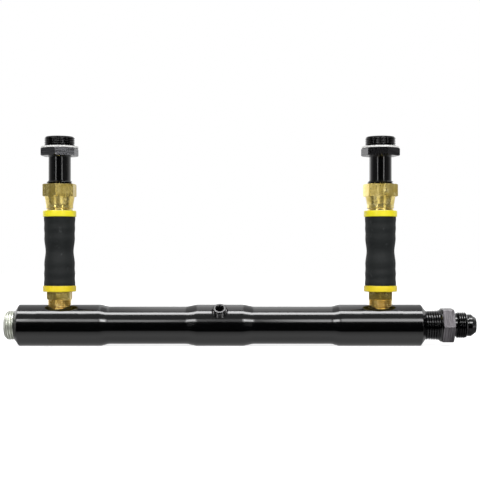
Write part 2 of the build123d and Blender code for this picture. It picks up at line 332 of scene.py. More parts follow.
def hex_radius(across, edge):
    """Distance from the axis to the side of a hexagon that has a corner at angle 0.

    With a the angle from the nearest corner it is flat / cos(30 - a), and inside the rounded
    corner it is c cos a + sqrt(edge^2 - (c sin a)^2), with c = (flat - edge) / cos 30.
    """
    flat = across / 2
    off = np.abs((hex_angles + TWELFTH) % SIXTH - TWELFTH)
    straight = flat / np.cos(TWELFTH - off)
    if not edge:
        return straight
    centre = (flat - edge) / math.cos(TWELFTH)
    arc = centre * np.cos(off) + np.sqrt(np.maximum(edge ** 2 - (centre * np.sin(off)) ** 2, 0))
    limit = math.atan2(edge / 2, centre + edge * math.cos(TWELFTH))
    return np.where(off < limit, arc, straight)


def hexagon(across, low, high):
    """Rings of a hexagon whose corners are turned off by a 30 degree cone at both ends.

    The cone starts half way between the flats and the corners.
    """
    side = hex_radius(across, hex_edge)
    face = across / 4 * (1 + 1 / math.cos(TWELFTH))
    rim = np.minimum(side, face)
    drop = (side - rim) * math.tan(TWELFTH)
    radii = np.stack([rim, side, side, rim])
    heights = np.stack([low + 0 * drop, low + drop, high - drop, high + 0 * drop])
    return radii, heights


def socket(across, depth, top):
    """Rings down into a hexagon socket: a countersunk mouth, straight sides and a floor."""
    side = hex_radius(across, 0)
    mouth = np.full_like(side, across / 2 / math.cos(TWELFTH) + socket_margin)
    floor = top - depth + 0 * side
    dimple = floor - socket_dimple
    radii = np.stack([mouth, side, side, 0.5 * side, 0 * side])
    heights = np.stack([top + 0 * side, top - (mouth - side), floor, dimple, dimple])
    return radii, heights


def ridges(base, way, low_radius, high_radius, front_start, front_end):
    """Profile from the hose's cut end at base to the stem's tip, with a ridge at every barb.

    Before each crest the front rises from front_start to front_end, and a long slope follows.
    """
    crests = np.array(barb_crests)
    heights = np.stack([crests - front_start, crests - front_end, crests + barb_flat,
                        crests + barb_ramp], axis=1)
    radii = np.tile((low_radius, high_radius, high_radius, low_radius), (len(crests), 1))
    points = np.stack([radii.ravel(), base + way * heights.ravel()], axis=1)
    return np.vstack([[(low_radius, base)], points])


def barbs(base, way):
    """Profile of a barbed stem."""
    return ridges(base, way, stem_root_radius, barb_radius, 0, 0)


def stretched_bore(base, way):
    """Bore of the hose where it is stretched over the barbs of a stem."""
    return ridges(base, way, hose_bore_radius, barb_radius + grip_clearance, hose_relax,
                  grip_clearance)


# ---------------- meshes

def quads(rows, columns, wrap_rows=False):
    """Corners of a grid's faces; its last column, and if asked its last row, joins the first."""
    here = np.arange(rows * columns).reshape(rows, columns)
    beside = np.roll(here, -1, axis=1)
    faces = np.stack([here, beside, np.roll(beside, -1, axis=0), np.roll(here, -1, axis=0)],
                     axis=-1)
    return faces if wrap_rows else faces[:-1]


def place(name, data):
    """New object in the scene."""
    made = bpy.data.objects.new(name, data)
    bpy.context.scene.collection.objects.link(made)
    return made


def finish_mesh(name, points, faces, finish, node):
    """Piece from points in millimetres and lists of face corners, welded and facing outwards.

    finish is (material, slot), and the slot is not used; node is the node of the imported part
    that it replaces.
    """
    material, slot = finish
    mesh = bpy.data.meshes.new(name)
    mesh.from_pydata((points * MM).tolist(), [], faces)
    work = bmesh.new()
    work.from_mesh(mesh)
    bmesh.ops.remove_doubles(work, verts=work.verts, dist=weld_distance)
    bmesh.ops.recalc_face_normals(work, faces=work.faces)
    work.to_mesh(mesh)
    work.free()
    mesh.shade_smooth()
    mesh.set_sharp_from_angle(angle=sharp_angle)
    mesh.materials.append(material)
    piece = place(name, mesh)
    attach(piece, "root")
    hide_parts(node)


def stand(rings, angles, origin, axis, front):
    """Points of rings about an axis: origin + h axis + r (cos a front + sin a side)."""
    radii, heights = (values[..., None] for values in rings)
    angles = angles[:, None]
    axis = np.asarray(axis, float)
    outwards = np.cos(angles) * front + np.sin(angles) * np.cross(axis, front)
    return np.asarray(origin, float) + heights * axis + radii * outwards


def turned_piece(name, rings, angles, seat, finish, node):
    """Piece of revolution from rings: solid if they start and end on the axis, else bored."""
    grid = stand(rings, angles, *seat)
    bored = rings[0][0].any()
    faces = quads(*grid.shape[:2], wrap_rows=bored).reshape(-1, 4).tolist()
    finish_mesh(name, grid.reshape(-1, 3), faces, finish, node)


# ---------------- finishes

class Wire:
    """The value that a node gives. Sums and products of it add Math nodes."""

    def __init__(self, paint, socket):
        self.paint = paint
        self.socket = socket

    def maths(self, operation, first, second=0.0):
        return self.paint.node("Math", {"operation": operation}, {0: first, 1: second})

    def __abs__(self):
        return self.maths("ABSOLUTE", self)

    def __add__(self, other):
        return self.maths("ADD", self, other)

    def __sub__(self, other):
        return self.maths("SUBTRACT", self, other)

    def __rsub__(self, other):
        return self.maths("SUBTRACT", other, self)

    def __mul__(self, other):
        return self.maths("MULTIPLY", self, other)

    def __pow__(self, other):
        return self.maths("POWER", self, other)

    __radd__ = __add__
    __rmul__ = __mul__


class Paint:
    """The nodes of one material or of the world."""

    def __init__(self, owner):
        self.owner = owner
        owner.use_nodes = True
        self.tree = owner.node_tree
        self.tree.nodes.clear()

    def node(self, kind, settings=None, sockets=None, output=0):
        """Any shader node: its settings are set first, then its sockets get values or links."""
        made = self.tree.nodes.new(f"ShaderNode{kind}")
        for key, value in (settings or {}).items():
            setattr(made, key, value)
        for key, value in (sockets or {}).items():
            if isinstance(value, Wire):
                self.tree.links.new(value.socket, made.inputs[key])
            else:
                made.inputs[key].default_value = value
        return Wire(self, made.outputs[output]) if made.outputs else None

    def along(self, axis, of="Object"):
        """Coordinate X, Y or Z in metres on the object, or of a direction in the world."""
        at = self.node("TexCoord", output=of)
        return self.node("SeparateXYZ", None, {0: at}, output=axis)

    def noise(self, scale, detail=2.0, roughness=0.5, distortion=0.0):
        """Cloudy pattern from 0 to 1; scale is the number of clouds in a metre along each axis."""
        at = self.node("TexCoord", output="Object")
        spot = self.node("Mapping", {"vector_type": "POINT"}, {"Vector": at, "Scale": scale})
        return self.node("TexNoise", {"noise_dimensions": "3D"},
                         {"Vector": spot, "Scale": 1.0, "Detail": detail,
                          "Roughness": roughness, "Distortion": distortion})

    def step(self, value, low, high, first=0.0, last=1.0):
        """Smooth step of a value from first at low to last at high."""
        return self.node("MapRange", {"interpolation_type": "SMOOTHSTEP"},
                         {"Value": value, "From Min": low, "From Max": high,
                          "To Min": first, "To Max": last})

    def band(self, value, low, high):
        """1 between two places in millimetres and 0 outside them."""
        above = self.step(value, (low - band_blur) * MM, (low + band_blur) * MM)
        return above * self.step(value, (high - band_blur) * MM, (high + band_blur) * MM, 1.0, 0.0)

    def blend(self, share, first, second):
        """Colour between two colours."""
        return self.node("Mix", {"data_type": "RGBA"},
                         {0: share, 6: first, 7: second}, output=2)

    def bump(self, height, depth, under=None):
        """Normal that is tilted by a height pattern of a depth in micrometres."""
        sockets = {"Height": height, "Distance": depth * 1e-6}
        if under:
            sockets["Normal"] = under
        return self.node("Bump", None, sockets)

    def finish(self, slot, **sockets):
        """Principled surface with its slot; an underscore in a name stands for a space."""
        named = {key.replace("_", " "): value for key, value in sockets.items()}
        shader = self.node("BsdfPrincipled", None, named)
        self.node("OutputMaterial", None, {"Surface": shader})
        return self.owner, slot


def colour(red, green, blue):
    return (red, green, blue, 1.0)


# Mean roughness of the anodising; tints of the finishes, darker and lighter, of their marks and of
# painted shade
anodised_roughness = 0.14
black_tints = (colour(0.0004, 0.0005, 0.0006), colour(0.0010, 0.0011, 0.0013))
brass_tints = (colour(0.68, 0.51, 0.12), colour(0.88, 0.73, 0.29))
brass_streak = colour(0.46, 0.33, 0.06)
# Painted shade: the orange-brown darkening in the brass thread's roots
brass_root_shade = colour(0.50, 0.27, 0.03)
# Painted shade: darker, warmer yellows for the collars low down near the bar
shaded_yellows = (colour(0.76, 0.54, 0.006), colour(0.86, 0.70, 0.010))
clear_yellows = (colour(0.80, 0.68, 0.006), colour(0.88, 0.80, 0.010))
rubber_tints = (colour(0.0025, 0.0045, 0.0048), colour(0.0085, 0.0110, 0.0112))
rubber_scuff = colour(0.045, 0.048, 0.048)
zinc_tints = (colour(0.52, 0.54, 0.47), colour(0.70, 0.71, 0.66))
nylon_tints = (colour(0.70, 0.70, 0.68), colour(0.80, 0.80, 0.78))


def black_anodised(piece, groove_scale, facets=None):
    """Glossy black anodising over turned aluminium: fine grooves and faint cloudiness.

    facets is (axis, low, high, grey, roughness): between the places low and high along the
    axis, in millimetres, the milled sides of a hexagon are a streaky dull grey.
    """
    paint = Paint(bpy.data.materials.new(f"black_anodised_{piece}"))
    grooves = paint.noise(groove_scale, detail=3.0)
    clouds = paint.noise((70, 70, 70), detail=3.0)
    tint = paint.blend(clouds, *black_tints)
    shine = 0.10 + 0.04 * grooves + 0.03 * clouds
    metal = 0.0
    if facets:
        axis, low, high, grey, dull = facets
        metal = paint.band(paint.along(axis), low, high)
        dark_grey = colour(*(0.45 * np.array(grey)))
        milled = paint.blend(paint.step(grooves, 0.3, 0.7), dark_grey, colour(*grey))
        tint = paint.blend(metal, tint, milled)
        shine = shine + (dull - anodised_roughness) * metal
    return paint.finish("black_anodised", Base_Color=tint, Roughness=shine, Metallic=metal,
                        IOR=1.5, Normal=paint.bump(grooves, 0.6))


def brass(*hexagons):
    """Golden brass: cloudy stain, fine pits and the lines left by the tool.

    The lines run round the turned parts and up the milled sides of the hexagons, which lie
    between pairs of heights in millimetres. Below the first hexagon, in the taper thread,
    the roots have a painted shade: darker and oranger where the distance from the leg's axis is
    smaller.
    """
    paint = Paint(bpy.data.materials.new("turned_brass"))
    height = paint.along("Z")
    aside = abs(paint.along("X")) - leg_place * MM
    deep = paint.along("Y")
    distance = (aside * aside + deep * deep) ** 0.5
    thread_top = hexagons[0][0] * MM
    # Painted shade in the thread's roots: darker nearer the leg's axis, only below the hexagon
    root = paint.step(distance, thread_root * MM, thread_crest * MM, 1.0, 0.0)
    root = root * paint.step(height, thread_top - root_shade_fade * MM, thread_top, 1.0, 0.0)
    milled = 0.0
    for low, high in hexagons:
        milled = paint.band(height, low, high) + milled
    stain = paint.noise((160, 160, 220), detail=4.0, roughness=0.6)
    turned = paint.noise((60, 60, 2200))
    brushed = paint.noise((1500, 1500, 60))
    pits = paint.noise((1800, 1800, 1800))
    streaks = paint.noise((600, 600, 12))
    tint = paint.blend(paint.step(stain, 0.35, 0.68), *brass_tints)
    streaked = 0.5 * milled * paint.step(streaks, 0.40, 0.56, 1.0, 0.0)
    tint = paint.blend(streaked, tint, brass_streak)
    # Blend in the painted shade of the thread's roots
    tint = paint.blend(0.7 * root, tint, brass_root_shade)
    shine = 0.25 + 0.14 * (stain - 0.5) + 0.08 * (pits - 0.5)
    lines = turned * (1 - milled) + 0.4 * brushed * milled
    return paint.finish("brass", Base_Color=tint, Metallic=0.88, Roughness=shine,
                        Normal=paint.bump(pits, 3, under=paint.bump(lines, 20)))


def yellow_plastic():
    """Moulded yellow plastic with a faint skin and a paler bloom, and a painted shade that makes
    it darker and warmer near the bar.
    """
    paint = Paint(bpy.data.materials.new("moulded_yellow_plastic"))
    bloom = paint.noise((140, 140, 140))
    skin = paint.noise((2200, 2200, 2200), detail=1.0)
    shaded = paint.blend(bloom, *shaded_yellows)
    clear = paint.blend(bloom, *clear_yellows)
    # Painted shade: low down, near the bar, the yellow turns darker and warmer
    tint = paint.blend(paint.step(paint.along("Z"), *shade_reach), shaded, clear)
    return paint.finish("yellow_plastic", Base_Color=tint, IOR=1.49,
                        Roughness=0.34 + 0.12 * (skin - 0.5), Normal=paint.bump(skin, 6))


def hose_rubber():
    """Matt charcoal rubber: cloth grain under the skin, slanting creases and pale scuffs."""
    paint = Paint(bpy.data.materials.new("hose_rubber"))
    grain = paint.noise((1500, 1500, 1500), detail=3.0)
    clouds = paint.noise((90, 90, 60), detail=3.0)
    creases = paint.noise((90, 90, 260), distortion=0.8)
    scuffs = paint.step(paint.noise((210, 210, 130), detail=4.0, roughness=0.7), 0.60, 0.74)
    tint = paint.blend(0.6 * scuffs, paint.blend(clouds, *rubber_tints), rubber_scuff)
    return paint.finish("hose_rubber", Base_Color=tint, IOR=1.36,
                        Roughness=0.66 + 0.2 * (grain - 0.5),
                        Normal=paint.bump(grain, 30, under=paint.bump(creases, 180)))


def zinc_plate():
    """Bright zinc with a faint yellow-green passivation."""
    paint = Paint(bpy.data.materials.new("zinc_plate"))
    film = paint.noise((150, 150, 150), detail=3.0)
    tint = paint.blend(film, *zinc_tints)
    return paint.finish("zinc_plated_steel", Base_Color=tint, Metallic=0.75,
                        Roughness=0.26 + 0.16 * film)


def white_nylon():
    """Milky nylon washer."""
    paint = Paint(bpy.data.materials.new("white_nylon"))
    milk = paint.noise((300, 300, 300))
    tint = paint.blend(milk, *nylon_tints)
    return paint.finish("white_nylon", Base_Color=tint, Roughness=0.42 + 0.1 * (milk - 0.5),
                        IOR=1.5)


leg_place = sum(span("sealing_washer_right", 0)) / 2
inlet_hex_base = span("inlet_adapter", 0)[0] + inlet_thread_length + inlet_shoulder_length
inlet_facets = ("X", inlet_hex_base, inlet_hex_base + inlet_hex_length, (0.20, 0.188, 0.20), 0.32)
carb_hex_top = span("sealing_washer_left", 2)[0]
carb_hex_reach = ("Z", carb_hex_top - carb_hex_length, carb_hex_top)
carb_facets = {
    "left": (*carb_hex_reach, (0.20, 0.20, 0.212), 0.28),
    "right": (*carb_hex_reach, (0.05, 0.05, 0.053), 0.22),
}
fitting_hex_top = span("lower_collar_left", 2)[0]
fitting_hex_reach = (fitting_hex_top - fitting_hex_length, fitting_hex_top)
nut_low, nut_high = span("swivel_nut_left", 2)
nut_hex_reach = (nut_low + nut_skirt_length + nut_cone_length, nut_high)

along_x = (1500, 90, 90)
along_z = (90, 90, 1500)
bar_black = black_anodised("bar", along_x)
inlet_black = black_anodised("inlet", along_x, inlet_facets)
leg_black = {side: black_anodised(side, along_z, carb_facets[side]) for side in carb_facets}
brass_finish = brass(fitting_hex_reach, nut_hex_reach)
collar_yellow = yellow_plastic()
rubber = hose_rubber()
zinc = zinc_plate()
nylon = white_nylon()


# ---------------- bar with its ports

def rectangle(window):
    """Points round a window's edge from its corner at +x and the least angle."""
    half_x, cells_x, cells_turn = window
    half_turn = cells_turn * cell_angle / 2
    up = np.linspace(-1, 1, cells_turn + 1)[:-1]
    left = np.linspace(1, -1, cells_x + 1)[:-1]
    x = np.concatenate([np.ones(cells_turn), left, -np.ones(cells_turn), -left])
    turn = np.concatenate([up, np.ones(cells_x), -up, -np.ones(cells_x)])
    return x * half_x, turn * half_turn


def patch(at, radius, hole, window, rings=8):
    """Wall between the round rim of a port at (x, angle) and the edge of its window.

    On the unrolled wall the points run straight from the rim (hole cos p,
    asin(hole sin p / radius)) to the window's edge, where p is the edge point's bearing. The
    wall is round: its angle is turned from +Z towards -Y.
    """
    edge_x, edge_turn = rectangle(window)
    bearing = np.unwrap(np.arctan2(radius * edge_turn, edge_x))
    rim_turn = np.arcsin(hole * np.sin(bearing) / radius)
    share = np.linspace(0, 1, rings)[:, None]
    x = at[0] + (1 - share) * hole * np.cos(bearing) + share * edge_x
    angle = at[1] + (1 - share) * rim_turn + share * edge_turn
    wall = np.stack([x, -radius * np.sin(angle), bar_axis + radius * np.cos(angle)], axis=-1)
    return wall, bearing


def port_wall(at, outer_bearing, inner_bearing, steps):
    """Wall of a port, from its rim on the bar's skin down to its rim in the gallery.

    A step (radius, level, wall, drop) is a ring about the port's axis. It lies on the round
    wall of that radius less the drop, but no higher than the level; 0 leaves one of them out.
    """
    share = np.linspace(0, 1, len(steps))[:, None]
    bearing = outer_bearing + share * (inner_bearing - outer_bearing)
    radius, level, wall, drop = np.array(steps, float).T[..., None]
    sideways = radius * np.sin(bearing)
    on_wall = np.sqrt(np.maximum(wall ** 2 - sideways ** 2, 0)) - drop
    height = np.where(wall > 0, np.where(level > 0, np.minimum(level, on_wall), on_wall), level)
    sine = math.sin(at[1])
    cosine = math.cos(at[1])
    return np.stack([at[0] + radius * np.cos(bearing), -sideways * cosine - height * sine,
                     bar_axis - sideways * sine + height * cosine], axis=-1)


def port_steps(mouth, mouth_depth, start, start_depth, end, end_rise, hole, hole_rise):
    """Steps of a port: edge and mouth in the skin, thread, and hole into the gallery."""
    return [
        (mouth + port_edge, 0, land_radius, 0),
        (mouth, 0, land_radius, port_edge),
        (mouth, land_radius - mouth_depth, land_radius, 1.5 * port_edge),
        (start, land_radius - start_depth, 0, 0),
        (end, gallery_radius + end_rise, 0, 0),
        (hole, gallery_radius + hole_rise, 0, 0),
        (hole, 0, gallery_radius, 0),
    ]


def make_bar():
    """The bar: one closed skin out along its lands and necks and back through the gallery."""
    neck_start = centre_land + centre_taper
    neck_end = neck_start + neck_length
    half = [
        (centre_land, land_radius),
        (neck_start, neck_radius),
        (neck_end, neck_radius),
        (neck_end + outer_taper, land_radius),
        (bar_end - end_chamfer_length, land_radius),
        (bar_end, land_radius - end_chamfer_depth),
    ]
    other_half = [(-x, radius) for x, radius in reversed(half)]
    skin = soften(other_half + half, (*bar_roundings[::-1], *bar_roundings))
    ports = [
        ((-leg_place, 0.0), leg_windows, port_steps(**leg_port)),
        ((leg_place, 0.0), leg_windows, port_steps(**leg_port)),
        ((0.0, math.radians(gauge_slant)), gauge_windows, port_steps(**gauge_port)),
    ]

    def stations(profile, layer):
        """Places along the bar: the profile's own and the lines of every window."""
        lines = [profile[:, 0]]
        for at, windows, _ in ports:
            half_x, cells_x = windows[layer][:2]
            lines.append(at[0] + np.linspace(-half_x, half_x, cells_x + 1))
        x = np.unique(np.round(np.concatenate(lines), 6))
        return np.stack([np.interp(x, profile[:, 0], profile[:, 1]), x], axis=1)

    outer = stations(skin, 0)
    gallery_end = bar_end - end_drill_depth
    bore = np.array([(-gallery_end, gallery_radius), (gallery_end, gallery_radius)])
    inner = stations(bore, 1)[::-1]
    right = np.array([
        (end_mouth_radius, bar_end),
        (end_mouth_radius - end_mouth_edge, bar_end - end_mouth_edge),
        (end_thread_radius, bar_end - end_thread_depth),
        (end_drill_radius, bar_end - end_thread_depth),
        (end_drill_radius, gallery_end),
    ])
    left = right[::-1] * (1, -1)
    profile = np.vstack([outer, right, inner, left])
    grid = stand(plain(profile), even_angles, (0, 0, bar_axis), (1, 0, 0), (0, 0, 1))
    faces = quads(*grid.shape[:2], wrap_rows=True)
    middle = (profile[:, 1] + np.roll(profile[:, 1], -1)) / 2
    layer = np.full(len(profile), -1)
    layer[:len(outer) - 1] = 0
    first_inner = len(outer) + len(right)
    layer[first_inner:first_inner + len(inner) - 1] = 1
    cell_turn = even_angles + cell_angle / 2
    keep = np.ones(faces.shape[:2], bool)
    for at, windows, _ in ports:
        off = np.abs((cell_turn - at[1] + math.pi) % (2 * math.pi) - math.pi)
        for number, window in enumerate(windows):
            inside = (layer == number) & (np.abs(middle - at[0]) < window[0])
            keep &= ~(inside[:, None] & (off < window[2] * cell_angle / 2)[None, :])
    points = [grid.reshape(-1, 3)]
    corners = [faces[keep]]
    total = len(points[0])
    for at, windows, steps in ports:
        near, outer_bearing = patch(at, land_radius, steps[0][0], windows[0])
        far, inner_bearing = patch(at, gallery_radius, steps[-1][0], windows[1])
        wall = port_wall(at, outer_bearing, inner_bearing, steps)
        for sheet in (near, far, wall):
            points.append(sheet.reshape(-1, 3))
            corners.append(quads(*sheet.shape[:2]).reshape(-1, 4) + total)
            total += len(points[-1])
    faces = np.concatenate(corners).tolist()
    finish_mesh("bar", np.vstack(points), faces, bar_black, "rail_body")


# ---------------- pieces on the bar's axis

def make_plug(name, node, finish, length, radius, pitch, cut, opening, seat):
    """Taper pipe plug with a hexagon socket."""
    thread = pipe_screw(0, length, radius, pitch, cut)
    rings = stack(plain([(0, 0)]), thread, socket(*opening, length))
    turned_piece(name, rings, hex_angles, seat, finish, node)


def make_end_plug():
    """Plug in the left end of the bar."""
    head, tail = span("end_plug", 0)
    seat = ((tail, 0, bar_axis), (-1, 0, 0), (0, 0, 1))
    make_plug("end_plug_dressed", "end_plug", zinc, tail - head, half_pipe_radius,
              half_pipe_pitch, end_plug_cut, end_plug_socket, seat)


def make_gauge_plug():
    """Small plug in the slanted port of the centre land."""
    slant = math.radians(gauge_slant)
    axis = np.array((0, -math.sin(slant), math.cos(slant)))
    middle = sum(span("gauge_port_plug", 0)) / 2
    origin = np.array((middle, 0, bar_axis)) + axis * (land_radius - gauge_plug_engagement)
    make_plug("gauge_plug_dressed", "gauge_port_plug", bar_black, gauge_plug_length,
              eighth_pipe_radius, eighth_pipe_pitch, gauge_plug_cut, gauge_plug_socket,
              (origin, axis, (1, 0, 0)))


def flare_end(start, way, thread_length):
    """Rings of a flare end from the start of its thread to the mouth of its bore."""
    thread_end = start + way * thread_length
    groove_end = thread_end + way * flare_groove_length
    nose_end = groove_end + way * flare_nose_length
    tip = nose_end + way * flare_cone_length
    thread = screw(*sorted((start, thread_end)), flare_thread_radius, flare_thread_radius,
                   flare_pitch, thread_cut, thread_cut)
    if way < 0:
        thread = reverse(thread)
    nose = soften([
        (flare_groove_radius, thread_end),
        (flare_groove_radius, groove_end),
        (flare_nose_radius, groove_end),
        (flare_nose_radius, nose_end),
        (flare_tip_radius, tip),
        (flow_radius, tip),
    ], flare_rounding)
    return stack(thread, plain(nose)), tip


def make_inlet_adapter():
    """Adapter in the right end: taper thread, shoulder, hexagon, flare end and bore."""
    tail, tip = span("inlet_adapter", 0)
    crest = half_pipe_radius + inlet_thread_length * pipe_growth
    hex_base = inlet_thread_length + inlet_shoulder_length
    hex_top = hex_base + inlet_hex_length
    flare_base = hex_top + inlet_neck_length
    shoulder = soften([
        (crest - inlet_shoulder_step, inlet_thread_length),
        (crest, inlet_thread_length + inlet_shoulder_edge),
        (inlet_shoulder_radius, hex_base - inlet_shoulder_rim),
        (inlet_shoulder_radius - inlet_shoulder_edge, hex_base),
        (inlet_hex / 2 - hex_face_margin, hex_base),
    ], shoulder_rounding)
    neck = soften([
        (inlet_hex / 2 - hex_face_margin, hex_top),
        (flare_neck_radius, hex_top),
        (flare_neck_radius, flare_base),
    ], neck_rounding)
    flare, flare_tip = flare_end(flare_base, 1, inlet_flare_thread)
    bore = [(flow_radius, flare_tip - bore_margin), (flow_radius, bore_margin), (flow_radius, 0)]
    rings = stack(
        pipe_screw(0, inlet_thread_length, half_pipe_radius, half_pipe_pitch,
                   fade=inlet_thread_fade),
        plain(shoulder),
        hexagon(inlet_hex, hex_base, hex_top),
        plain(neck),
        flare,
        plain(bore),
    )
    turn = math.radians(inlet_turn)
    seat = ((tail, 0, bar_axis), (1, 0, 0), (0, -math.cos(turn), -math.sin(turn)))
    turned_piece("inlet_adapter_dressed", rings, hex_angles, seat, inlet_black, "inlet_adapter")


# ---------------- legs

def leg_piece(name, side, rings, finish, node=None):
    """Piece of a leg; hex_turns says which have a hexagon and how it is turned."""
    turn = hex_turns[side].get(name)
    angles = even_angles if turn is None else hex_angles
    turn = math.radians(turn or 0)
    foot = (sum(span(f"sealing_washer_{side}", 0)) / 2, 0, 0)
    seat = (foot, (0, 0, 1), (math.sin(turn), -math.cos(turn), 0))
    turned_piece(f"{name}_dressed_{side}", rings, angles, seat, finish, f"{node or name}_{side}")


def make_fitting(side):
    """Brass fitting: taper thread in the bar, hexagon and barbed stem."""
    low, top = span(f"rail_hose_fitting_{side}", 2)
    hex_top = span(f"lower_collar_{side}", 2)[0]
    hex_base = hex_top - fitting_hex_length
    cut = span(f"hose_{side}", 2)[0]
    stem = np.vstack([[(stem_seat_radius, hex_top), (stem_seat_radius, cut)], barbs(cut, 1),
                      [(flow_radius, top)]])
    rings = stack(
        pipe_screw(low, hex_base, three_eighths_pipe_radius, three_eighths_pipe_pitch,
                   fade=fitting_thread_fade),
        hexagon(fitting_hex, hex_base, hex_top),
        plain(soften(stem, stem_rounding, steps=2)),
        plain([(flow_radius, low)]),
    )
    leg_piece("hose_fitting", side, rings, brass_finish, "rail_hose_fitting")


def make_collar(side, name, way):
    """Plastic collar over a cut end of the hose; its floor lies away from the hose."""
    low, high = span(f"{name}_{side}", 2)
    base = low if way > 0 else high
    length = high - low
    bore = stem_seat_radius + collar_clearance
    pocket = hose_end_radius + collar_clearance
    profile = np.array([
        (bore, collar_floor / 2),
        (bore, 0),
        (collar_radius, 0),
        (collar_radius, length),
        (pocket, length),
        (pocket, collar_floor),
        (bore, collar_floor),
        (bore, collar_floor / 2),
    ])
    profile = soften(profile, collar_roundings, steps=6)
    profile[:, 1] = base + way * profile[:, 1]
    leg_piece(name, side, plain(profile[:-1]), collar_yellow)


def hose_skin(low, high):
    """Outside of the hose: a smooth cubic through its bulges, valleys and waist.

    Between neighbouring knots the radius is the cubic with the knots' own radii and slopes;
    a knot's slope is that of the line between its two neighbours.
    """
    up, radius_up = np.array(hose_knots).T
    knots = np.concatenate([low + up, [(low + high) / 2], high - up[::-1]])
    radii = np.concatenate([radius_up, [hose_waist], radius_up[::-1]])
    slopes = np.gradient(radii, knots)
    slopes[[0, -1]] = 0
    height = np.linspace(knots[0], knots[-1], hose_samples)
    cell = np.clip(np.searchsorted(knots, height) - 1, 0, len(knots) - 2)
    length = knots[cell + 1] - knots[cell]
    s = (height - knots[cell]) / length
    radius = ((2 * s ** 3 - 3 * s ** 2 + 1) * radii[cell]
              + (s ** 3 - 2 * s ** 2 + s) * length * slopes[cell]
              + (3 * s ** 2 - 2 * s ** 3) * radii[cell + 1]
              + (s ** 3 - s ** 2) * length * slopes[cell + 1])
    return np.stack([radius, height], axis=1)


def make_hose(side):
    """Rubber hose held on both barbed stems: swollen over the barbs and waisted between."""
    low, high = span(f"hose_{side}", 2)
    profile = np.vstack([
        [(hose_end_radius, low + hose_edge)],
        hose_skin(low, high),
        [(hose_end_radius, high - hose_edge), (hose_end_radius - hose_edge, high)],
        stretched_bore(high, -1),
        stretched_bore(low, 1)[::-1],
        [(hose_end_radius - hose_edge, low)],
    ])
    leg_piece("hose", side, plain(profile), rubber)


def make_nipple(side):
    """Brass swivel nipple: barbed stem, flange, neck and head with the flare seat."""
    cut = span(f"hose_{side}", 2)[1]
    base = span(f"upper_collar_{side}", 2)[1]
    low = span(f"swivel_nipple_{side}", 2)[0]
    shoulder = base + flange_thickness + nut_gap + nut_lip_length
    head_base = shoulder + nipple_head - nipple_neck
    head_top = head_base + nipple_head_length
    profile = np.vstack([
        [(flow_radius, low + nipple_bore_start), (flow_radius, low)],
        barbs(cut, -1)[::-1],
        [
            (stem_seat_radius, cut),
            (stem_seat_radius, base),
            (flange_radius, base),
            (flange_radius, base + flange_thickness),
            (nipple_neck, base + flange_thickness),
            (nipple_neck, shoulder),
            (nipple_head, head_base),
            (nipple_head, head_top),
            (nipple_seat, head_top),
            (flow_radius, head_top - (nipple_seat - flow_radius) / flare_slope),
            (flow_radius, low + nipple_bore_start + seam),
        ],
    ])
    rings = plain(soften(profile, stem_rounding, steps=2))
    leg_piece("swivel_nipple", side, rings, brass_finish)


def make_nut(side):
    """Brass swivel nut: lip, skirt, conical shoulder and hexagon round a threaded bore."""
    low, high = span(f"swivel_nut_{side}", 2)
    shoulder = low + nut_lip_length
    hex_base = low + nut_skirt_length + nut_cone_length
    lip = nipple_neck + nut_clearance
    head_bore = nipple_head + nut_clearance
    thread_bore = flare_thread_radius + thread_clearance
    step = span(f"carb_adapter_{side}", 2)[0] + flare_head_length - nut_thread_runout
    outside = soften([
        (lip, low + nut_lip_start),
        (lip, low),
        (nut_skirt_radius, low),
        (nut_skirt_radius, low + nut_skirt_length),
        (nut_cone_top, hex_base),
    ], nut_roundings)
    cavity = np.array([
        (thread_bore + bore_lead, high),
        (thread_bore, high - bore_lead),
        (thread_bore, step + thread_bore - head_bore),
        (head_bore, step),
        (head_bore, shoulder + head_bore - nipple_neck - seat_clearance),
        (lip, shoulder + nut_clearance - seat_clearance),
        (lip, low + nut_lip_start + seam),
    ])
    rings = stack(
        plain(outside),
        hexagon(nut_hex, hex_base, high),
        plain(cavity),
    )
    leg_piece("swivel_nut", side, rings, brass_finish)


def make_carb_adapter(side):
    """Black adapter: flare end in the nut, round tube, hexagon and carburettor thread."""
    low, high = span(f"carb_adapter_{side}", 2)
    hex_top = span(f"sealing_washer_{side}", 2)[0]
    hex_base = hex_top - carb_hex_length
    thread_top = low + flare_head_length + leg_flare_thread
    flare, tip = flare_end(thread_top, -1, leg_flare_thread)
    tube = soften([
        (flare_neck_radius, thread_top),
        (flare_neck_radius, hex_base - carb_hex_root),
        (flare_neck_radius + carb_hex_root, hex_base),
        (carb_hex / 2 - hex_face_margin, hex_base),
    ], neck_rounding)
    relief_top = hex_top + carb_relief_length
    relief = soften([
        (carb_hex / 2 - hex_face_margin, hex_top),
        (carb_relief_radius, hex_top),
        (carb_relief_radius, relief_top),
    ], shoulder_rounding)
    runout = carb_thread_radius - carb_relief_radius
    thread = screw(relief_top, high, carb_thread_radius, carb_thread_radius, carb_pitch,
                   (runout, runout), carb_thread_cut)
    mouth = flow_radius + carb_mouth
    bore = soften([(mouth + carb_face, high), (mouth, high), (flow_radius, high - carb_mouth),
                   (flow_radius, tip + bore_margin)], flare_rounding)
    rings = stack(
        reverse(flare),
        plain(tube),
        hexagon(carb_hex, hex_base, hex_top),
        plain(relief),
        thread,
        plain(bore),
    )
    leg_piece("carb_adapter", side, rings, leg_black[side])


def make_washer(side):
    """Nylon washer on the adapter's hexagon."""
    node = f"sealing_washer_{side}"
    low, high = span(node, 2)
    radius = np.ptp(span(node, 0)) / 2
    bore = carb_thread_radius + washer_clearance
    middle = (low + high) / 2
    profile = soften([(bore, middle), (bore, low), (radius, low), (radius, high), (bore, high),
                      (bore, middle)], washer_rounding, steps=5)
    leg_piece("sealing_washer", side, plain(profile[:-1]), nylon)


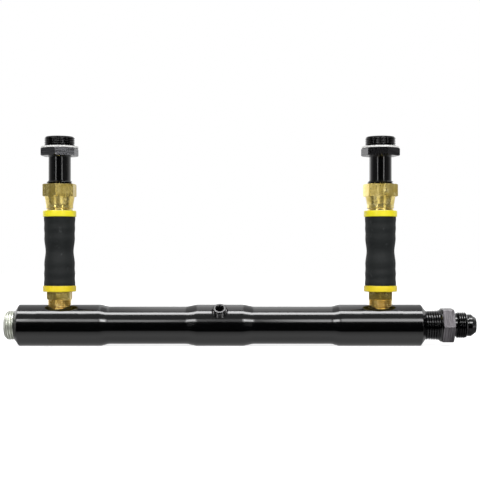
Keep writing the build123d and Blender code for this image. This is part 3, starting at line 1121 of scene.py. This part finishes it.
make_bar()
make_end_plug()
make_gauge_plug()
make_inlet_adapter()
for side in ("left", "right"):
    make_fitting(side)
    make_collar(side, "lower_collar", 1)
    make_hose(side)
    make_collar(side, "upper_collar", -1)
    make_nipple(side)
    make_nut(side)
    make_carb_adapter(side)
    make_washer(side)


# ---------------- studio

# Levels in reflections are steps (from, to, level before, level after) in metres or parts of
# a direction. The floor's run from the camera to the back, and then out from the middle.
floor_size = 6.0
floor_edge = (-0.035, -0.029, 0.01, 0.65)
floor_rise = (-0.032, -0.016, 0.0, 0.5)
# Painted shadow of the bar: the floor's level in reflections halves right under the bar
floor_shadow = (-0.018, -0.004, 1.0, 0.5)
floor_ends = (0.158, 0.172, 1.0, 0.45)
floor_wings = (0.22, 0.27, 1.0, 3.5)
strip_front = (-0.36, -0.31)
strip_back = (-0.22, -0.18, 1.0, 0.0)
strip_slope = (0.09, 0.12)
strip_level = 0.4
strip_middle = (0.050, 0.070, 2.2, 0.0)
strip_inner = (0.225, 0.245)
strip_outer = (0.285, 0.305, 3.0, 0.0)
floor_glow = 0.75
floor_tint = colour(0.86, 0.86, 0.86)

# The room's, by its parts back (Y), up (Z) and across (X)
wall_back = (0.52, 0.62)
board_wide = (0.06, 0.15)
board_high = (0.4, 0.6)
ceiling_level = (0.52, 0.70, 0.0, 0.4)
wall_wide = (0.55, 0.85)
wall_level = (-0.3, 0.4, 0.15, 0.6)
panel_left = (-0.28, -0.18, 0.9, 0.0)
panel_back = (0.5, 0.7)
panel_low = (0.2, 0.4, 1.0, 0.0)
room_least = 0.004
room_matt = 0.48

# Lamps: bearing, elevation, distance, width, height, radiance and whether matt surfaces see it
lamps = {
    "overhead_strip": (0, 79.0, 1.2, 2.2, 0.31, 15, False),
    "front_strip": (0, 29.5, 1.8, 1.6, 0.40, 1.2, True),
    "front_left": (-14, 29.0, 1.8, 0.50, 0.40, 3.6, True),
    "front_right": (14, 30.5, 1.8, 0.56, 0.46, 6.0, True),
    "left_box": (-27, 29, 1.8, 0.42, 0.36, 12, True),
    "right_box": (27, 29, 1.8, 0.42, 0.36, 12, True),
    "left_skirt": (-33, 6, 1.8, 0.14, 0.64, 7.5, False),
    "right_skirt": (31, 6, 1.8, 0.14, 0.64, 7.5, False),
}

# Camera
camera_place = (0.0184, -0.813, -0.0799)
camera_lens = 82.7
camera_shift = (-0.0104, 0.0313)


def make_floor():
    """Plain pale floor under the bar, white to the eye but for the shadow on it.

    In reflections it is white behind floor_edge and dark before it, halved right under the bar as
    a painted shadow of the bar, dimmer beside the bar's ends and bright again farther out. Where
    it is seen steeply, it also has a strip of brighter patches in front, painted pools of light
    where the tall lamps at the sides shine on it.
    """
    half = floor_size / 2
    level = bar_bottom * MM
    mesh = bpy.data.meshes.new("floor")
    mesh.from_pydata([(-half, -half, level), (half, -half, level), (half, half, level),
                      (-half, half, level)], [], [(0, 1, 2, 3)])
    paint = Paint(bpy.data.materials.new("pale_floor"))
    path = paint.node("LightPath", output="Is Glossy Ray")
    seen = paint.node("LightPath", output="Is Camera Ray")
    depth = paint.along("Y")
    aside = abs(paint.along("X"))
    near = paint.step(depth, *floor_edge) + paint.step(depth, *floor_rise)
    # Painted shadow of the bar in what reflections see of the floor
    near = near * paint.step(depth, *floor_shadow)
    near = near * paint.step(aside, *floor_ends) * paint.step(aside, *floor_wings)
    leaving = paint.node("NewGeometry", output="Incoming")
    steep = paint.node("SeparateXYZ", None, {0: leaving}, output="Z")
    strip = paint.step(depth, *strip_front) * paint.step(depth, *strip_back)
    strip = strip * paint.step(steep, *strip_slope)
    ends = paint.step(aside, *strip_inner) * paint.step(aside, *strip_outer)
    near = near + strip * (strip_level + paint.step(aside, *strip_middle) + ends)
    matt = paint.node("BsdfDiffuse", None, {"Color": floor_tint})
    glow = paint.node("Emission", None, {"Strength": floor_glow * seen})
    lit = paint.node("AddShader", None, {0: matt, 1: glow})
    mirror = paint.node("Emission", None, {"Strength": near})
    surface = paint.node("MixShader", None, {0: path, 1: lit, 2: mirror})
    paint.node("OutputMaterial", None, {"Surface": surface})
    mesh.materials.append(paint.owner)
    place("floor", mesh)


def make_world():
    """White room: bright above and behind the part, dark in front of it.

    In reflections its light in the direction (x, y, z) is 0.68 + 0.92 z where y + z / 2 is
    above about 0.57, less high up and away from the middle, and a low panel behind on the
    left adds 0.9. The ceiling in front gives 0.4, and the side walls rise from 0.15 in front
    to 0.6 behind. Matt surfaces get an even light.
    """
    world = bpy.data.worlds.new("studio")
    bpy.context.scene.world = world
    paint = Paint(world)
    seen = paint.node("LightPath", output="Is Camera Ray")
    glossy = paint.node("LightPath", output="Is Glossy Ray")
    back, up, across = (paint.along(axis, "Generated") for axis in "YZX")
    aside = abs(across)
    board = 1 - 0.65 * paint.step(aside, *board_wide) * paint.step(up, *board_high)
    behind = paint.step(back + 0.5 * up, *wall_back) * (0.68 + 0.92 * up) * board
    ceiling = paint.step(up, *ceiling_level)
    walls = paint.step(aside, *wall_wide) * paint.step(back, *wall_level)
    panel = paint.step(across, *panel_left) * paint.step(back, *panel_back)
    panel = panel * paint.step(up, *panel_low)
    studio = behind + ceiling + walls + panel + room_least
    level = (1 - glossy) * room_matt + glossy * studio
    strength = (1 - seen) * level + seen
    ground = paint.node("Background", None, {"Color": colour(1, 1, 1), "Strength": strength})
    paint.node("OutputWorld", None, {"Surface": ground})


def make_light(name, bearing, elevation, distance, width, height, radiance, matt):
    """Rectangular lamp that faces the part from a direction, given by its radiance.

    The bearing is measured from the front (-Y) towards +X. Without matt the lamp shows only
    in reflections, so that the level of light stays plain.
    """
    lamp = bpy.data.lights.new(name, "AREA")
    lamp.shape = "RECTANGLE"
    lamp.size = width
    lamp.size_y = height
    lamp.energy = radiance * math.pi * width * height
    rig = place(name, lamp)
    bearing = math.radians(bearing)
    elevation = math.radians(elevation)
    away = np.array((math.sin(bearing) * math.cos(elevation),
                     -math.cos(bearing) * math.cos(elevation), math.sin(elevation)))
    target = np.array((0, 0, bar_axis * MM))
    rig.location = (target + away * distance).tolist()
    rig.rotation_euler = (math.pi / 2 - elevation, 0, bearing)
    rig.visible_camera = False
    rig.visible_diffuse = matt


def make_camera():
    """Level camera in front of the part, a little right of its middle."""
    lens = bpy.data.cameras.new("camera")
    lens.sensor_width = 36.0
    lens.lens = camera_lens
    lens.shift_x, lens.shift_y = camera_shift
    camera = place("camera", lens)
    camera.location = camera_place
    camera.rotation_euler = (math.pi / 2, 0, 0)
    bpy.context.scene.camera = camera


make_floor()
make_world()
for name, lamp in lamps.items():
    make_light(name, *lamp)
make_camera()
bpy.context.scene.view_settings.view_transform = "Standard"
